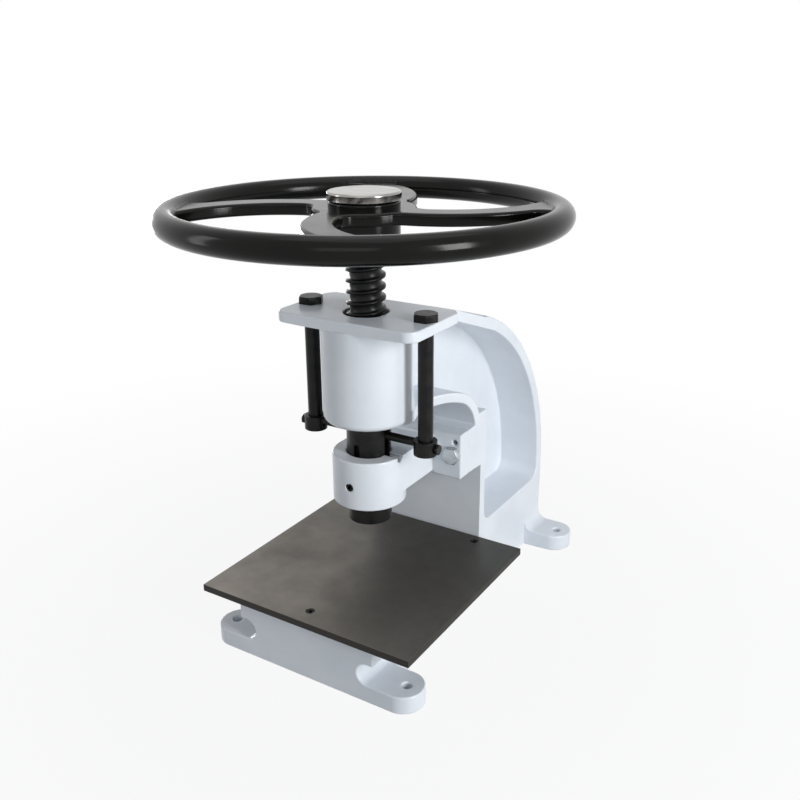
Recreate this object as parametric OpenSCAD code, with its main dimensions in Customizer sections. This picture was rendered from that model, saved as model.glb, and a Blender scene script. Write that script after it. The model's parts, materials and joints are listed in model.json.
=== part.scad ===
// Hand-wheel screw press for the bench: a cast C-frame, a trapezoidal screw in a fixed bronze nut,
// a round ram that slides in a bolted guide bracket, and a pair of stop arms clamped on hanging rods.
// Every module is drawn about the screw axis at bench level, then moved to the part's own origin,
// which is the middle of the four bench bolts.

/* [Base] */
// Width of the base under the bed plate
base_w = 150; // [140:1:180]
// Screw axis to the front face of the base
base_front = 112; // [105:1:130]
// Height of the base up to the seat of the bed plate
base_h = 58; // [50:1:75]
// Thickness of the front and back walls of the base
base_wall = 14; // [10:1:20]
// Thickness of the roof of the base
base_roof = 16; // [15:1:24]
// Thickness of the side walls of the base, which take the bolt-head scoops
base_side_wall = 27; // [25:1:32]
// Radius of the round end of a bench lug
lug_r = 20; // [16:0.5:24]
// Thickness of a bench lug
lug_t = 18; // [14:1:24]
// Screw axis to the middle of a lug's round end, sideways
lug_x = 94; // [90:1:110]
// Diameter of a bench bolt hole
lug_hole_d = 9; // [7:0.5:12]
// Bench bolt hole beyond the middle of the lug's round end
lug_hole_out = 4; // [0:0.5:8]
// Radius of the scoop that clears a bench bolt's head
scoop_r = 10.5; // [8:0.5:12]
// How far the scoop reaches into the side of the base
scoop_depth = 17; // [14:0.5:18]
// Fillet where a rear lug meets the column
lug_fillet = 12; // [6:1:16]

/* [Bed plate] */
// Width of the bed plate
bed_w = 230; // [200:1:260]
// Screw axis to the front edge of the bed plate
bed_front = 117.5; // [114:0.5:135]
// Thickness of the bed plate
bed_t = 7; // [6.5:0.5:12]
// Front edge of the bed plate to the front screw
bed_screw_inset = 17.5; // [14:0.5:24]
// Back edge of the bed plate to a rear screw
bed_screw_back = 11; // [8:0.5:16]
// Screw axis to a rear bed screw, sideways
bed_screw_x = 67; // [60:1:69]

/* [Column and arm] */
// Screw axis to the face of the column, the depth of the throat
throat = 104; // [98:1:130]
// Screw axis to the back of the column
column_back = 261; // [235:1:290]
// Width of the column and of its rims
column_w = 132; // [126:1:138]
// Thickness of the web between the two side pockets
web_t = 38; // [20:1:44]
// Thickness of the rims around the pockets
rim_t = 12; // [8:0.5:16]
// Height of the pocket floor above the seat of the bed plate
pocket_floor = 18; // [12:1:30]
// Radius of the corners of a pocket
pocket_r = 14; // [8:1:20]
// Radius of the round back of the frame
back_r = 219; // [200:1:235]
// How far the crown of the round back lies below the top of the ear plate
back_drop = 10; // [6:1:20]
// Radius of the arch under the arm
arch_r = 49; // [46:0.5:54]
// Screw axis to the middle of the arch
arch_y = 45; // [43:0.5:50]
// Middle of the arch below the underside of the nut housing
arch_drop = 40; // [34:0.5:44]
// Thickness of the rim above the arch
arch_rim = 10; // [7:0.5:14]

/* [Nut housing and ear plate] */
// Outer diameter of the nut housing
housing_d = 84; // [78:1:96]
// Rounding of the lower edge of the nut housing
housing_round = 6; // [3:0.5:9]
// Width of the ear plate
ear_w = 148; // [144:1:164]
// Screw axis to the front edge of the ear plate
ear_front = 41; // [36:1:52]
// Screw axis to the back edge of the ear plate
ear_back = 45; // [43:1:56]
// Thickness of the ear plate
ear_t = 10; // [8:0.5:16]
// Radius of the front corners of the ear plate
ear_r = 12; // [6:1:20]
// Clearance round the screw in the ear plate
ear_screw_gap = 3; // [1.5:0.5:4]

/* [Screw and nut] */
// Outer diameter of the press screw
screw_d = 36; // [33:0.5:38]
// Pitch of the single-start thread, which is also its lead
screw_pitch = 10; // [8:0.5:12]
// Depth of the thread
thread_depth = 3.5; // [2.5:0.1:4]
// Clearance of the thread in the nut
thread_gap = 0.4; // [0.3:0.05:0.6]
// Length of screw that shows between the ear plate and the wheel's hub
screw_shows = 67; // [56:1:90]
// Outer diameter of the bronze nut and of the guide bush
nut_d = 56; // [54:0.5:60]
// Length of the bronze nut
nut_len = 44; // [36:1:60]
// Diameter of the dowels that keep the nut from turning
nut_dowel_d = 5; // [4:0.5:6]
// Length of a nut dowel
nut_dowel_len = 15; // [10:1:17]
// Thickness of the retaining ring under the nut
ring_t = 2; // [1.5:0.25:2.5]
// Depth of the groove that holds the retaining ring
ring_groove = 1.5; // [1:0.1:2.5]
// Length of the guide bush at the mouth of the housing
bush_len = 24; // [15:1:24]

/* [Ram and stroke] */
// Diameter of the ram
ram_d = 42; // [40:0.5:44]
// Ram face above the bed plate, as drawn
daylight = 53.5; // [45:0.5:75]
// Length of ram that shows below the guide, as drawn
ram_stub = 21; // [15:0.5:30]
// Travel of the ram downwards from the place drawn
stroke_down = 22; // [16:1:24]
// Travel of the ram upwards from the place drawn
stroke_up = 10; // [6:1:12]
// Solid length of the ram above its side grooves
ram_head = 5.7; // [5:0.1:12]
// Depth of the side grooves of the ram
side_groove = 7; // [5:0.25:7.5]
// Width of the keyway in the front of the ram
keyway_w = 6; // [5:0.25:8]
// Depth of the keyway in the front of the ram
keyway_depth = 4.5; // [3:0.25:5]
// Upper end of the keyway above the top of the guide
keyway_shows = 11.5; // [8:0.5:14]
// Diameter of the screw's end journal, which turns in the ram
journal_d = 20; // [18:0.5:20]
// Length of the end journal inside the ram
journal_len = 28; // [24:1:40]
// Diameter of the pins that hold the screw in the ram
retainer_d = 5; // [4:0.25:5]
// Retaining pins below the top of the ram
retainer_drop = 17; // [14:0.5:20]

/* [Thrust bearing] */
// Outer diameter of the bearing races
race_d = 35; // [33:0.5:35.5]
// Thickness of one race
race_t = 3; // [2.5:0.1:4]
// Diameter of a bearing ball
ball_d = 5.5; // [5:0.1:5.6]
// Number of balls
ball_count = 12; // [8:1:13]
// Space between the two races
race_space = 4; // [3.6:0.1:4.4]
// Thickness of the ball cage
cage_t = 2; // [1:0.1:2.5]

/* [Guide bracket] */
// Outer diameter of the guide collar
collar_d = 70; // [64:1:76]
// Height of the guide collar
collar_h = 48.5; // [44:0.5:60]
// Underside of the arm above the underside of the collar
arm_lift = 11.5; // [8:0.5:16]
// Underside of the flange above the underside of the collar
flange_lift = 7.5; // [4:0.5:12]
// Height of the flange
flange_h = 47; // [44:0.5:50]
// Screw axis to the front face of the flange
flange_front = 61; // [56:0.5:66]
// Thickness of the flange
flange_t = 18; // [12:0.5:22]
// Side of the flange to a flange bolt
flange_bolt_inset = 9; // [8.5:0.5:14]
// Height of a flange bolt above the underside of the flange
flange_bolt_z = 25; // [20:0.5:27]
// Diameter of a flange bolt
flange_bolt_d = 10; // [8:1:10]
// Width across flats of a flange bolt's head
flange_bolt_af = 16; // [13:0.5:17]
// Thickness of a flange bolt's head
flange_bolt_head = 6.5; // [5:0.5:8]
// Depth of a flange bolt in the frame
flange_bolt_grip = 20; // [14:1:24]
// Diameter of a flange dowel
flange_dowel_d = 5; // [4:0.5:6]
// Side of the flange to a flange dowel
flange_dowel_inset = 7; // [6:0.5:14]
// Height of a flange dowel above the flange bolt
flange_dowel_rise = 13; // [12:0.5:15]
// Depth of a dowel below the face of the flange
flange_dowel_sink = 6; // [2:0.5:8]
// Depth of the round notch in the rim of the collar
collar_notch = 6; // [3:0.5:9]
// Diameter of the key screw in the front of the collar
key_screw_d = 8; // [6:0.5:10]
// Height of the key screw above the underside of the collar
key_screw_z = 22; // [18:0.5:24]
// Depth of the key screw below the face of the collar
key_screw_sink = 1.5; // [0.5:0.5:3]

/* [Stop rods and arms] */
// Diameter of a stop rod
rod_d = 14; // [12:0.5:15]
// Screw axis to a stop rod
rod_x = 62; // [60:0.5:64]
// Width across flats of a stop rod's head
rod_head_af = 21; // [19:0.5:24]
// Thickness of a stop rod's head
rod_head_t = 7; // [6:0.5:11]
// Outer diameter of the eye of a stop arm
eye_d = 22; // [21:0.5:25]
// Height of the eye of a stop arm
eye_h = 14; // [13:0.5:20]
// Diameter of a stop arm
arm_d = 8; // [6:0.5:9]
// Stop arm above the top of the guide collar
arm_rise = 18.5; // [17:0.5:26]
// Upward setting range of the stop arms
stop_travel = 8; // [4:0.5:10]
// Space left between a raised stop arm and the housing
arm_clear = 2.5; // [1:0.5:6]
// Diameter of a clamp screw
clamp_d = 6; // [4:0.5:6]
// Width across flats of a clamp screw's head
clamp_af = 9; // [8:0.5:11]
// Thickness of a clamp screw's head
clamp_head = 3; // [2.5:0.5:6]

/* [Handwheel] */
// Outer diameter of the handwheel
wheel_d = 360; // [320:5:400]
// Diameter of the rim's round section
rim_d = 22; // [18:0.5:26]
// Number of spokes
spoke_count = 4; // [3:1:5]
// Width of a spoke
spoke_w = 27; // [20:1:36]
// Radius of the curve along which a spoke runs from the hub to the rim
spoke_bend_r = 106; // [95:1:400]
// Thickness of a spoke
spoke_t = 11; // [7:0.5:14]
// Middle of the spokes below the middle of the rim
spoke_drop = 0; // [0:0.1:4]
// Rounding of the corners of the openings
spoke_fillet = 14; // [8:1:18]
// Direction in which the first spoke leaves the hub, counted from the right-hand side
spoke_turn = -15; // [-180:1:180]
// Radius of the disc that joins the spokes to the hub
spoke_disc_r = 46; // [40:1:58]
// Outer diameter of the hub
hub_d = 63; // [60:1:66]
// Height of the hub
hub_h = 32.5; // [30:0.5:44]
// Middle of the rim above the underside of the hub
rim_lift = 21; // [12:0.5:22]
// Diameter of the screw's seat in the hub
seat_d = 26; // [24:0.5:26.5]
// Thickness of hub that the lock nut clamps
hub_floor = 18; // [14:0.5:19]
// Diameter of the pocket in the hub for the lock nut
hub_pocket_d = 54; // [50:0.5:55]
// Width of the key in the hub
hub_key_w = 8; // [6:0.5:8]
// Height of the key in the hub
hub_key_h = 7; // [5:0.5:7]
// Diameter of the thread for the lock nut
stud_d = 22; // [18:0.5:23]
// Width across flats of the lock nut
hub_nut_af = 36; // [30:0.5:37]
// Thickness of the lock nut
hub_nut_t = 9; // [7:0.5:10]
// Diameter of the washer under the lock nut
hub_washer_d = 44; // [40:0.5:46]
// Thickness of the washer under the lock nut
hub_washer_t = 2.5; // [2:0.25:3]
// Diameter of the hub cap
cap_d = 65; // [62:0.5:72]
// Thickness of the hub cap
cap_t = 7.5; // [5:0.5:10]

/* [Fits] */
// Radial clearance of a sliding or turning fit
slide_gap = 0.05; // [0.02:0.01:0.1]
// Radial clearance of a piece that is screwed or pressed home
seat_gap = 0.05; // [0.02:0.01:0.1]
// Clearance between pieces that pass each other
pass_gap = 0.5; // [0.3:0.1:0.8]

/* [Hidden] */
$fn = 64;

paint = "#E9EEF4";
black_oxide = "#2B2A28";
bare_steel = "#6C6A66";
bronze = "#B08D57";

// Overshoot of a cut past a face
cut = 1;
// Corners over flats of a hexagon
hex_across = 2 / sqrt(3);
// Turned face of a hexagon head over its flats, and the slope of its chamfer
head_face = 0.95;
head_chamfer = 30;
// Length of side groove that runs on into the guide collar
groove_spare = 8;
// Space left under the nut with the ram at its top
nut_rest = 2;
// Back edge of the bed plate to the column
bed_column_gap = 1.5;
// How far a retaining pin reaches into the journal's groove
retainer_bite = 1.5;
// Keyway left below the key screw with the ram at its top
keyway_spare = 5;

// Heights above the bench, stacked from the base upwards
bed_top = base_h + bed_t;
ram_low = bed_top + daylight;
collar_low = ram_low + ram_stub;
collar_top = collar_low + collar_h;
arm_z = collar_top + arm_rise;
arm_top = arm_z + arm_d / 2;
housing_low = arm_top + stop_travel + arm_clear;
groove_top = arm_top + stop_travel + stroke_down + pass_gap;
groove_low = min(collar_top, arm_z - arm_d / 2 - stroke_up) - groove_spare;
ram_top = groove_top + ram_head;
screw_low = ram_top + 2 * race_t + race_space;
nut_low = screw_low + stroke_up + nut_rest;
ear_low = nut_low + nut_len;
ear_top = ear_low + ear_t;
hub_low = ear_top + screw_shows;
hub_top = hub_low + hub_h;
rim_z = hub_low + rim_lift;
flange_low = collar_low + flange_lift;
flange_top = flange_low + flange_h;
bolt_z = flange_low + flange_bolt_z;
dowel_z = bolt_z + flange_dowel_rise;
pocket_z = base_h + pocket_floor;
arch_z = housing_low - arch_drop;
key_z = collar_low + key_screw_z;

// Places in plan, from the screw axis
boss_face = flange_front + flange_t;
flange_bolt_x = column_w / 2 - flange_bolt_inset;
flange_dowel_x = column_w / 2 - flange_dowel_inset;
column_back_in = column_back - rim_t;
throat_in = throat + rim_t;
bed_back = throat - bed_column_gap;
front_lug_y = -(base_front - lug_r);
rear_lug_y = column_back - lug_r;
bolt_mid_y = (front_lug_y + rear_lug_y) / 2;
lug_places = [[-lug_x, front_lug_y], [lug_x, front_lug_y], [-lug_x, rear_lug_y], [lug_x, rear_lug_y]];
bed_screw_places = [
    [0, -(bed_front - bed_screw_inset)],
    [-bed_screw_x, bed_back - bed_screw_back],
    [bed_screw_x, bed_back - bed_screw_back]
];

// Round back of the frame and the straight line that joins it to the ear plate
back_mid = [column_back - back_r, ear_top - back_drop - back_r];
ear_corner = [ear_back, ear_top];
ear_reach = ear_corner - back_mid;
back_lean = atan2(ear_reach[0], ear_reach[1]) + acos(back_r / norm(ear_reach));
back_normal = [sin(back_lean), cos(back_lean)];

// Middle circle of the wheel's rim, and how far inside it the openings end
rim_mid_r = (wheel_d - rim_d) / 2;
rim_bite = 2;

// Small fasteners of the bed plate
bed_screw_d = 5;
bed_screw_head_d = 8.5;
bed_screw_head = 5;
bed_screw_grip = 12;
bed_screw_sink = 0.5;
socket_af = 4;
socket_depth = 3;

// Thread points over one pitch: share of the pitch, share of the depth, side of the flank
thread_points = [[0, 0, 1], [0.5, 0, -1], [0.6, 0.45, -1], [0.66, 1, -1], [0.84, 1, 1], [0.9, 0.45, 1]];
thread_sides = 30;
screw_root = screw_d / 2 - thread_depth;
thread_margin = 1;
thread_start = screw_low + thread_margin;
nut_thread_turn = floor((nut_low - thread_margin - screw_pitch - thread_start) / screw_pitch);
nut_thread_start = thread_start + screw_pitch * nut_thread_turn;
ring_d = nut_d + 2 * ring_groove;
nut_dowel_x = (screw_d / 2 + thread_gap + nut_d / 2) / 2;
ball_ring_r = (journal_d + race_d) / 4;
ball_z = ram_top + race_t + race_space / 2;
retainer_x = journal_d / 2 + retainer_d / 2 - retainer_bite;
keyway_top = collar_top + keyway_shows;
keyway_low = key_z - stroke_up - keyway_w / 2 - keyway_spare;

// Moves a piece from the screw axis to the part's origin
module at_axis() {
    translate([0, -bolt_mid_y, 0]) children();
}

// Draws an outline in the plane of depth and height, spread evenly over a width
module across(width) {
    rotate([90, 0, 90]) translate([0, 0, -width / 2]) linear_extrude(width) children();
}

// A bar with its axis along the width of the press
module along_x(d, len) {
    rotate([0, 90, 0]) cylinder(d = d, h = len);
}

// A bar with its axis along the depth of the press
module along_y(d, len) {
    rotate([-90, 0, 0]) cylinder(d = d, h = len);
}

module hexagon(af, h) {
    cylinder(d = af * hex_across, h = h, $fn = 6);
}

// A hexagon head or nut with the corners of its upper face turned off
module hex_head(af, h) {
    face_r = head_face * af / 2;
    intersection() {
        hexagon(af, h);
        cylinder(h = h, r1 = face_r + h / tan(head_chamfer), r2 = face_r);
    }
}

// Plan of the ear plate, with round corners
module ear_outline() {
    deep = ear_front + ear_back;
    translate([-ear_w / 2, -ear_front + ear_r]) square([ear_w, deep - 2 * ear_r]);
    translate([-ear_w / 2 + ear_r, -ear_front]) square([ear_w - 2 * ear_r, deep]);
    for (side = [-1, 1], y = [-ear_front + ear_r, ear_back - ear_r])
        translate([side * (ear_w / 2 - ear_r), y]) circle(ear_r);
}

// Outer outline of the column and arm, drawn in by a thickness at the back and another at the top
module back_outline(inset, top) {
    r = back_r - inset;
    square([column_back - inset, back_mid[1]]);
    intersection() {
        translate(back_mid) circle(r, $fn = 180);
        translate(back_mid) square(r + cut);
    }
    polygon([
        [0, back_mid[1]],
        back_mid,
        back_mid + r * back_normal,
        [ear_back, ear_top - top],
        [0, ear_top - top]
    ]);
}

// Open space in front of the column, under the arm
module throat_outline(grow) {
    far = 2 * column_back;
    translate([-far, -cut]) square([far + throat + grow, flange_low + cut]);
    translate([-far, 0]) square([far + boss_face, flange_top]);
    intersection() {
        translate([arch_y, arch_z]) circle(arch_r + grow, $fn = 120);
        translate([0, flange_top]) square(far);
    }
    translate([-far, 0]) square([far + arch_y, housing_low + grow]);
}

// Recess between the rims, with round lower corners
module pocket_outline() {
    difference() {
        back_outline(rim_t, ear_t);
        throat_outline(arch_rim);
        square([throat_in, flange_top + arch_rim]);
        square([column_back, pocket_z]);
        translate([column_back_in - pocket_r, pocket_z]) corner_spandrel(0);
        translate([throat_in, pocket_z]) corner_spandrel(1);
    }
}

// The sharp corner outside a round one, at the right or, turned, at the left
module corner_spandrel(left) {
    difference() {
        square(pocket_r);
        translate([left * pocket_r, pocket_r]) circle(pocket_r);
    }
}

// Plan of the space beside the housing that the arch's rim leaves free
module arm_taper() {
    wide = column_w / 2;
    narrow = housing_d / 2;
    for (side = [0, 1]) mirror([side, 0]) polygon([
        [narrow, -2 * narrow],
        [narrow, narrow / 2],
        [wide, flange_front],
        [wide + cut, flange_front],
        [wide + cut, -2 * narrow]
    ]);
}

module base_shape() {
    translate([-base_w / 2, -base_front, 0]) cube([base_w, base_front + throat, base_h]);
    translate([-column_w / 2, 0, 0]) cube([column_w, column_back, base_h]);
    for (p = lug_places) {
        translate([p[0], p[1], 0]) cylinder(r = lug_r, h = lug_t);
        translate([min(p[0], 0), p[1] - lug_r, 0]) cube([abs(p[0]), 2 * lug_r, lug_t]);
    }
    for (side = [0, 1]) mirror([side, 0, 0])
        translate([column_w / 2, rear_lug_y + lug_r, lug_t]) rotate([90, 0, 0])
            linear_extrude(2 * lug_r) difference() {
                square(lug_fillet);
                translate([lug_fillet, lug_fillet]) circle(lug_fillet);
            }
}

module base_cuts() {
    inner_w = base_w - 2 * base_side_wall;
    translate([-inner_w / 2, -base_front + base_wall, -cut])
        cube([inner_w, base_front + column_back - 2 * base_wall, base_h - base_roof + cut]);
    for (p = lug_places) translate([p[0] + sign(p[0]) * lug_hole_out, p[1], -cut])
        cylinder(d = lug_hole_d, h = lug_t + 2 * cut);
    scoop_len = 2 * lug_r;
    for (side = [0, 1]) mirror([side, 0, 0])
        translate([base_w / 2 - scoop_depth + scoop_r, -base_front - cut, lug_t + scoop_r]) {
            along_y(2 * scoop_r, scoop_len + cut);
            translate([0, 0, -scoop_r]) cube([scoop_depth, scoop_len + cut, 2 * scoop_r]);
        }
    for (p = bed_screw_places) translate([p[0], p[1], base_h - bed_screw_grip])
        cylinder(d = bed_screw_d + 2 * seat_gap, h = bed_screw_grip + cut);
}

module arm_shape() {
    difference() {
        across(column_w) difference() {
            back_outline(0, 0);
            throat_outline(0);
        }
        for (side = [0, 1]) mirror([side, 0, 0]) translate([column_w / 2 + web_t / 2, 0, 0])
            across(column_w) pocket_outline();
        translate([0, 0, flange_top]) linear_extrude(ear_low - flange_top - housing_d / 2) arm_taper();
    }
}

module housing_shape() {
    r = housing_d / 2;
    translate([0, 0, housing_low]) rotate_extrude() {
        translate([0, housing_round]) square([r, ear_low - housing_low - housing_round]);
        square([r - housing_round, housing_round]);
        translate([r - housing_round, housing_round]) circle(housing_round);
    }
    translate([0, 0, ear_low]) linear_extrude(ear_t) ear_outline();
}

module housing_cuts() {
    translate([0, 0, housing_low - cut]) cylinder(r = nut_d / 2 + seat_gap, h = ear_low - housing_low + cut);
    translate([0, 0, ear_low - cut]) cylinder(d = screw_d + 2 * ear_screw_gap, h = ear_t + 2 * cut);
    translate([0, 0, nut_low - ring_t - 2 * seat_gap]) cylinder(d = ring_d, h = ring_t + 2 * seat_gap);
    for (side = [-1, 1]) {
        translate([side * rod_x, 0, ear_low - cut]) cylinder(r = rod_d / 2 + seat_gap, h = ear_t + 2 * cut);
        translate([side * nut_dowel_x, 0, ear_low - nut_dowel_len / 2])
            cylinder(r = nut_dowel_d / 2 + seat_gap, h = nut_dowel_len);
    }
}

// Two like holes or pins through the flange of the guide bracket
module flange_pair(x, z, d, from, len) {
    for (side = [-1, 1]) translate([side * x, from, z]) along_y(d, len);
}

module frame_casting() color(paint) at_axis() difference() {
    union() {
        base_shape();
        arm_shape();
        housing_shape();
    }
    base_cuts();
    housing_cuts();
    grip = flange_bolt_grip + cut;
    flange_pair(flange_bolt_x, bolt_z, flange_bolt_d + 2 * seat_gap, boss_face - cut, grip);
    flange_pair(flange_dowel_x, dowel_z, flange_dowel_d + 2 * seat_gap, boss_face - cut, grip);
}

module bed_plate() color(bare_steel) at_axis() difference() {
    translate([-bed_w / 2, -bed_front, base_h]) cube([bed_w, bed_front + bed_back, bed_t]);
    for (p = bed_screw_places) translate([p[0], p[1], base_h - cut]) {
        cylinder(d = bed_screw_d + 2 * slide_gap, h = bed_t + 2 * cut);
        translate([0, 0, cut + bed_t - bed_screw_head - bed_screw_sink])
            cylinder(d = bed_screw_head_d + 2 * slide_gap, h = bed_screw_head + bed_screw_sink + cut);
    }
}

module bed_plate_screws() color(black_oxide) at_axis()
    for (p = bed_screw_places) translate([p[0], p[1], bed_top - bed_screw_sink]) difference() {
        union() {
            translate([0, 0, -bed_screw_head]) cylinder(d = bed_screw_head_d, h = bed_screw_head);
            reach = bed_t - bed_screw_sink + bed_screw_grip - cut;
            translate([0, 0, -reach]) cylinder(d = bed_screw_d, h = reach);
        }
        translate([0, 0, -socket_depth]) hexagon(socket_af, socket_depth + cut);
    }

// Radius and height of point k of the thread's outline, grown by a clearance
function thread_r(k, grow) = screw_root + grow + thread_depth * thread_points[k % len(thread_points)][1];
function thread_z(k, grow) =
    let (n = len(thread_points), p = thread_points[k % n])
    screw_pitch * (floor(k / n) + p[0]) + grow * p[2] * (p[1] > 0 ? 1 : 0);

// A right-hand thread from one flat end to the other. Each column of points is one angle, and the
// last column meets the first one pitch further up. The ridge rises from the root where the thread
// starts and sinks back into it where the thread ends.
module thread_body(low, high, start, turns, grow) {
    n = len(thread_points);
    rows = n * turns;
    sides = thread_sides;
    last = sides - 1;
    per_col = rows + 1;
    low_ring = sides * per_col;
    high_ring = low_ring + sides;
    run_in = high_ring + sides;
    run_out = run_in + n;
    root = screw_root + grow;
    function at(i, k) = i < sides ? i * per_col + k : k + n;
    function spot(i, r, z) = [r * cos(360 * i / sides), r * sin(360 * i / sides), z];
    function climb(i) = start + screw_pitch * i / sides;
    function entry(k) = k < n ? run_in + k : at(last, 0);
    function leaving(k) = k > 0 ? run_out + k - 1 : at(0, rows);
    function patch(a, d, c, b) = [[a, d, c], [a, c, b]];
    points = concat(
        [for (i = [0 : last], k = [0 : rows]) spot(i, thread_r(k, grow), climb(i) + thread_z(k, grow))],
        [for (i = [0 : last]) spot(i, root, low)],
        [for (i = [0 : last]) spot(i, root, high)],
        [for (k = [0 : n - 1]) spot(last, root, climb(last) + thread_z(k, grow) - screw_pitch)],
        [for (k = [1 : n]) spot(0, root, start + thread_z(rows + k, grow))]);
    faces = concat(
        [for (i = [0 : last], k = [0 : rows - 1]) if (i < last || k < rows - n)
            each patch(at(i, k), at(i, k + 1), at(i + 1, k + 1), at(i + 1, k))],
        [for (k = [0 : n - 1]) each patch(entry(k), entry(k + 1), at(0, k + 1), at(0, k))],
        [for (k = [0 : n - 1])
            each patch(at(last, rows - n + k), at(last, rows - n + k + 1), leaving(k + 1), leaving(k))],
        [for (i = [0 : last - 2]) each patch(low_ring + i, at(i, 0), at(i + 1, 0), low_ring + i + 1)],
        [for (k = [0 : n - 1]) [at(last - 1, 0), entry(k + 1), entry(k)]],
        patch(at(last - 1, 0), entry(0), low_ring + last, low_ring + last - 1),
        patch(low_ring + last, entry(0), at(0, 0), low_ring),
        [for (i = [1 : last - 1])
            each patch(at(i, rows), high_ring + i, high_ring + i + 1, at(i + 1, rows))],
        patch(at(last, rows), high_ring + last, high_ring, leaving(n)),
        [for (k = [0 : n - 1]) [at(1, rows), leaving(k), leaving(k + 1)]],
        patch(at(1, rows), leaving(n), high_ring, high_ring + 1),
        [[for (i = [0 : last]) low_ring + i]],
        [[for (i = [last : -1 : 0]) high_ring + i]]);
    polyhedron(points, faces, convexity = 10);
}

module screw_nut() color(bronze) at_axis() difference() {
    translate([0, 0, nut_low]) cylinder(d = nut_d, h = nut_len);
    turns = ceil((ear_low + cut - nut_thread_start) / screw_pitch);
    thread_body(nut_thread_start - 2 * cut, nut_thread_start + (turns + 1) * screw_pitch + cut,
        nut_thread_start, turns, thread_gap);
    for (side = [-1, 1]) translate([side * nut_dowel_x, 0, ear_low - nut_dowel_len / 2])
        cylinder(r = nut_dowel_d / 2 + seat_gap, h = nut_dowel_len);
}

module nut_dowels() color(bare_steel) at_axis()
    for (side = [-1, 1]) translate([side * nut_dowel_x, 0, ear_low - nut_dowel_len / 2])
        cylinder(d = nut_dowel_d, h = nut_dowel_len);

module nut_retaining_ring() color(bare_steel) at_axis() translate([0, 0, nut_low - ring_t - seat_gap]) {
    inner_d = nut_d - 4 * ring_groove;
    difference() {
        cylinder(d = ring_d - 2 * slide_gap, h = ring_t);
        translate([0, 0, -cut]) cylinder(d = inner_d, h = ring_t + 2 * cut);
        translate([-ring_t, 0, -cut]) cube([2 * ring_t, ring_d, ring_t + 2 * cut]);
    }
}

module upper_guide_bush() color(bronze) at_axis() translate([0, 0, housing_low]) difference() {
    cylinder(d = nut_d, h = bush_len);
    translate([0, 0, -cut]) cylinder(r = ram_d / 2 + slide_gap, h = bush_len + 2 * cut);
}

module ram_guide_bracket() color(paint) at_axis() difference() {
    union() {
        translate([0, 0, collar_low]) cylinder(d = collar_d, h = collar_h);
        translate([-collar_d / 2, 0, collar_low + arm_lift])
            cube([collar_d, flange_front + cut, collar_h - arm_lift]);
        translate([-column_w / 2, flange_front, flange_low]) cube([column_w, flange_t, flange_h]);
    }
    translate([0, 0, collar_low - cut]) cylinder(r = ram_d / 2 + slide_gap, h = collar_h + 2 * cut);
    translate([ram_d / 2, 0, collar_top]) {
        notch_r = arm_d / 2 + pass_gap;
        translate([-cut, 0, notch_r - collar_notch]) along_x(2 * notch_r, collar_d / 2);
        translate([-cut, -notch_r, notch_r - collar_notch]) cube([collar_d / 2, 2 * notch_r, collar_notch]);
    }
    translate([0, -collar_d / 2 - cut, key_z]) along_y(key_screw_d + 2 * seat_gap, collar_d / 2);
    through = flange_t + 2 * cut;
    flange_pair(flange_bolt_x, bolt_z, flange_bolt_d + 2 * slide_gap, flange_front - cut, through);
    flange_pair(flange_dowel_x, dowel_z, flange_dowel_d + 2 * seat_gap, flange_front - cut, through);
}

module guide_bolts() color("silver") at_axis() {
    flange_pair(flange_bolt_x, bolt_z, flange_bolt_d, flange_front - cut, flange_t + flange_bolt_grip);
    for (side = [-1, 1]) translate([side * flange_bolt_x, flange_front, bolt_z])
        rotate([90, 0, 0]) hex_head(flange_bolt_af, flange_bolt_head);
}

module guide_dowels() color(bare_steel) at_axis()
    flange_pair(flange_dowel_x, dowel_z, flange_dowel_d, flange_front + flange_dowel_sink,
        flange_t + flange_bolt_grip - flange_dowel_sink - cut);

module ram_key_screw() color(black_oxide) at_axis() {
    outer = collar_d / 2 - key_screw_sink;
    body = outer - ram_d / 2 - pass_gap;
    translate([0, 0, key_z]) difference() {
        union() {
            translate([0, -outer, 0]) along_y(key_screw_d, body);
            translate([0, -outer, 0]) along_y(keyway_w - pass_gap, body + keyway_depth);
        }
        translate([0, -outer + socket_depth, 0]) rotate([90, 0, 0]) hexagon(socket_af, socket_depth + cut);
    }
}

module stop_rod(side) color(black_oxide) at_axis() translate([side * rod_x, 0, 0]) {
    low = arm_z - eye_h + arm_d / 2 + pass_gap;
    translate([0, 0, low]) cylinder(d = rod_d, h = ear_top - low);
    translate([0, 0, ear_top]) hex_head(rod_head_af, rod_head_t);
}

module left_stop_rod() stop_rod(-1);
module right_stop_rod() stop_rod(1);

// An eye on a stop rod with a round arm whose tip runs in the side groove of the ram
module stop_arm(side) color(black_oxide) at_axis() mirror([side < 0 ? 1 : 0, 0, 0]) {
    eye_top = arm_top + pass_gap;
    tip = ram_d / 2 - side_groove + pass_gap;
    difference() {
        union() {
            translate([rod_x, 0, eye_top - eye_h]) cylinder(d = eye_d, h = eye_h);
            translate([tip, 0, arm_z]) along_x(arm_d, rod_x - tip);
        }
        translate([rod_x, 0, eye_top - eye_h - cut])
            cylinder(r = rod_d / 2 + slide_gap, h = eye_h + 2 * cut);
        translate([rod_x, 0, eye_top - eye_h / 2]) along_x(clamp_d + 2 * seat_gap, eye_d);
    }
}

module left_stop_arm() stop_arm(-1);
module right_stop_arm() stop_arm(1);

module clamp_screw(side) color(black_oxide) at_axis() mirror([side < 0 ? 1 : 0, 0, 0])
    translate([rod_x, 0, arm_top + pass_gap - eye_h / 2]) {
        tip = rod_d / 2 + 2 * slide_gap;
        translate([tip, 0, 0]) along_x(clamp_d, eye_d / 2 - tip + cut);
        translate([eye_d / 2 + cut / 2, 0, 0]) rotate([0, 90, 0]) hex_head(clamp_af, clamp_head);
    }

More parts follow.
